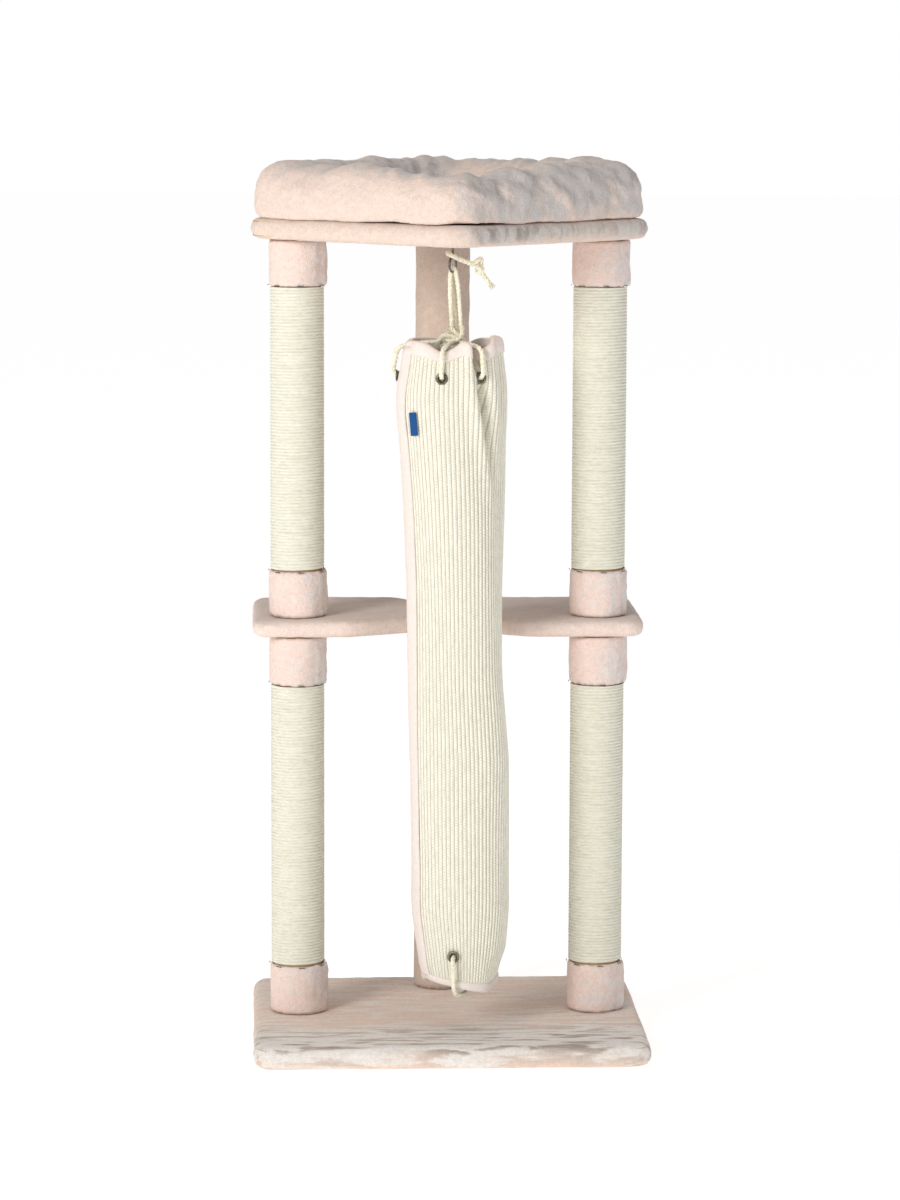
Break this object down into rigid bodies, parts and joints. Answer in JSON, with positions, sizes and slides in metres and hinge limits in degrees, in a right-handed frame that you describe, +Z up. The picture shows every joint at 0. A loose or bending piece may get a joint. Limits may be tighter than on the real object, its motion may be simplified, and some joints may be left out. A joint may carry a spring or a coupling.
{
  "type": "cat tree",
  "caption": "Plush cat tree with sisal front posts, a plush back post, a middle shelf, a corner-on square top with a bolster bed, and a woven tunnel hanging on a rope.",
  "frame": {"origin": "on the floor, midway between the two front posts, under the middle of the top", "axes": "+X to the right, +Y to the back, +Z up"},
  "size_m": [0.5042, 0.5042, 1.13],
  "materials": {
    "plush": "short cream-pink plush pile",
    "particle_board": "raw particle board",
    "cardboard": "wound cardboard",
    "turned_wood": "raw turned softwood",
    "sisal": "wound sisal rope",
    "zinc_steel": "zinc plated",
    "dark_steel": "blackened wire",
    "stuffed_plush": "plush over soft filling",
    "woven_mat": "ribbed woven paper and sisal cord",
    "binding": "suede-like plush tape",
    "eyelet_metal": "dark bronze plating",
    "rope": "three-strand twisted rope",
    "blue_label": "plain woven tape"
  },
  "bodies": {
    "cat_tree_frame": {"back_post_bottom_plug": "turned_wood", "back_post_plush_cover": "plush", "back_post_top_plug": "turned_wood", "back_post_tube": "cardboard", "base_board": "particle_board", "base_bolt_washers": "zinc_steel", "base_bolts": "zinc_steel", "base_plush_cover": "plush", "bed_bolster": "stuffed_plush", "bed_pad": "stuffed_plush", "collar_staples": "dark_steel", "left_lower_post_bottom_collar": "plush", "left_lower_post_bottom_plug": "turned_wood", "left_lower_post_sisal_winding": "sisal", "left_lower_post_top_collar": "plush", "left_lower_post_top_plug": "turned_wood", "left_lower_post_tube": "cardboard", "left_upper_post_bottom_collar": "plush", "left_upper_post_bottom_plug": "turned_wood", "left_upper_post_sisal_winding": "sisal", "left_upper_post_top_collar": "plush", "left_upper_post_top_plug": "turned_wood", "left_upper_post_tube": "cardboard", "right_lower_post_bottom_collar": "plush", "right_lower_post_bottom_plug": "turned_wood", "right_lower_post_sisal_winding": "sisal", "right_lower_post_top_collar": "plush", "right_lower_post_top_plug": "turned_wood", "right_lower_post_tube": "cardboard", "right_upper_post_bottom_collar": "plush", "right_upper_post_bottom_plug": "turned_wood", "right_upper_post_sisal_winding": "sisal", "right_upper_post_top_collar": "plush", "right_upper_post_top_plug": "turned_wood", "right_upper_post_tube": "cardboard", "shelf_board": "particle_board", "shelf_plush_cover": "plush", "shelf_studs": "zinc_steel", "shelf_to_back_post_screw": "zinc_steel", "threaded_inserts": "zinc_steel", "tie_off_knot": "rope", "tie_off_rope": "rope", "top_board": "particle_board", "top_plush_cover": "plush", "top_studs": "zinc_steel", "tunnel_screw_eye": "dark_steel"},
    "hanging_ropes": {"hanging_rope_loop": "rope", "hanging_rope_middle": "rope"},
    "gathering_knot": {"tunnel_gathering_knot": "rope"},
    "hanging_tunnel": {"tunnel_bottom_binding": "binding", "tunnel_bottom_rope": "rope", "tunnel_eyelets": "eyelet_metal", "tunnel_plain_label": "blue_label", "tunnel_rope_back": "rope", "tunnel_rope_front": "rope", "tunnel_rope_left": "rope", "tunnel_rope_right": "rope", "tunnel_side_binding": "binding", "tunnel_top_binding": "binding", "tunnel_woven_mat": "woven_mat"}
  },
  "joints": [
    {"name": "tunnel_swing_fore_and_aft", "type": "hinge", "parent": "cat_tree_frame", "child": "hanging_ropes", "pos_m": [0, -0.104, 0.995], "axis": [1, 0, 0], "range_deg": [-20, 0.5]},
    {"name": "tunnel_swing_sideways", "type": "hinge", "parent": "hanging_ropes", "child": "gathering_knot", "pos_m": [0.002, -0.104, 0.908], "axis": [0, 1, 0], "range_deg": [-6, 6]},
    {"name": "tunnel_twist", "type": "hinge", "parent": "gathering_knot", "child": "hanging_tunnel", "pos_m": [0.002, -0.104, 0.908], "axis": [0, 0, 1], "range_deg": [-40, 40]}
  ]
}
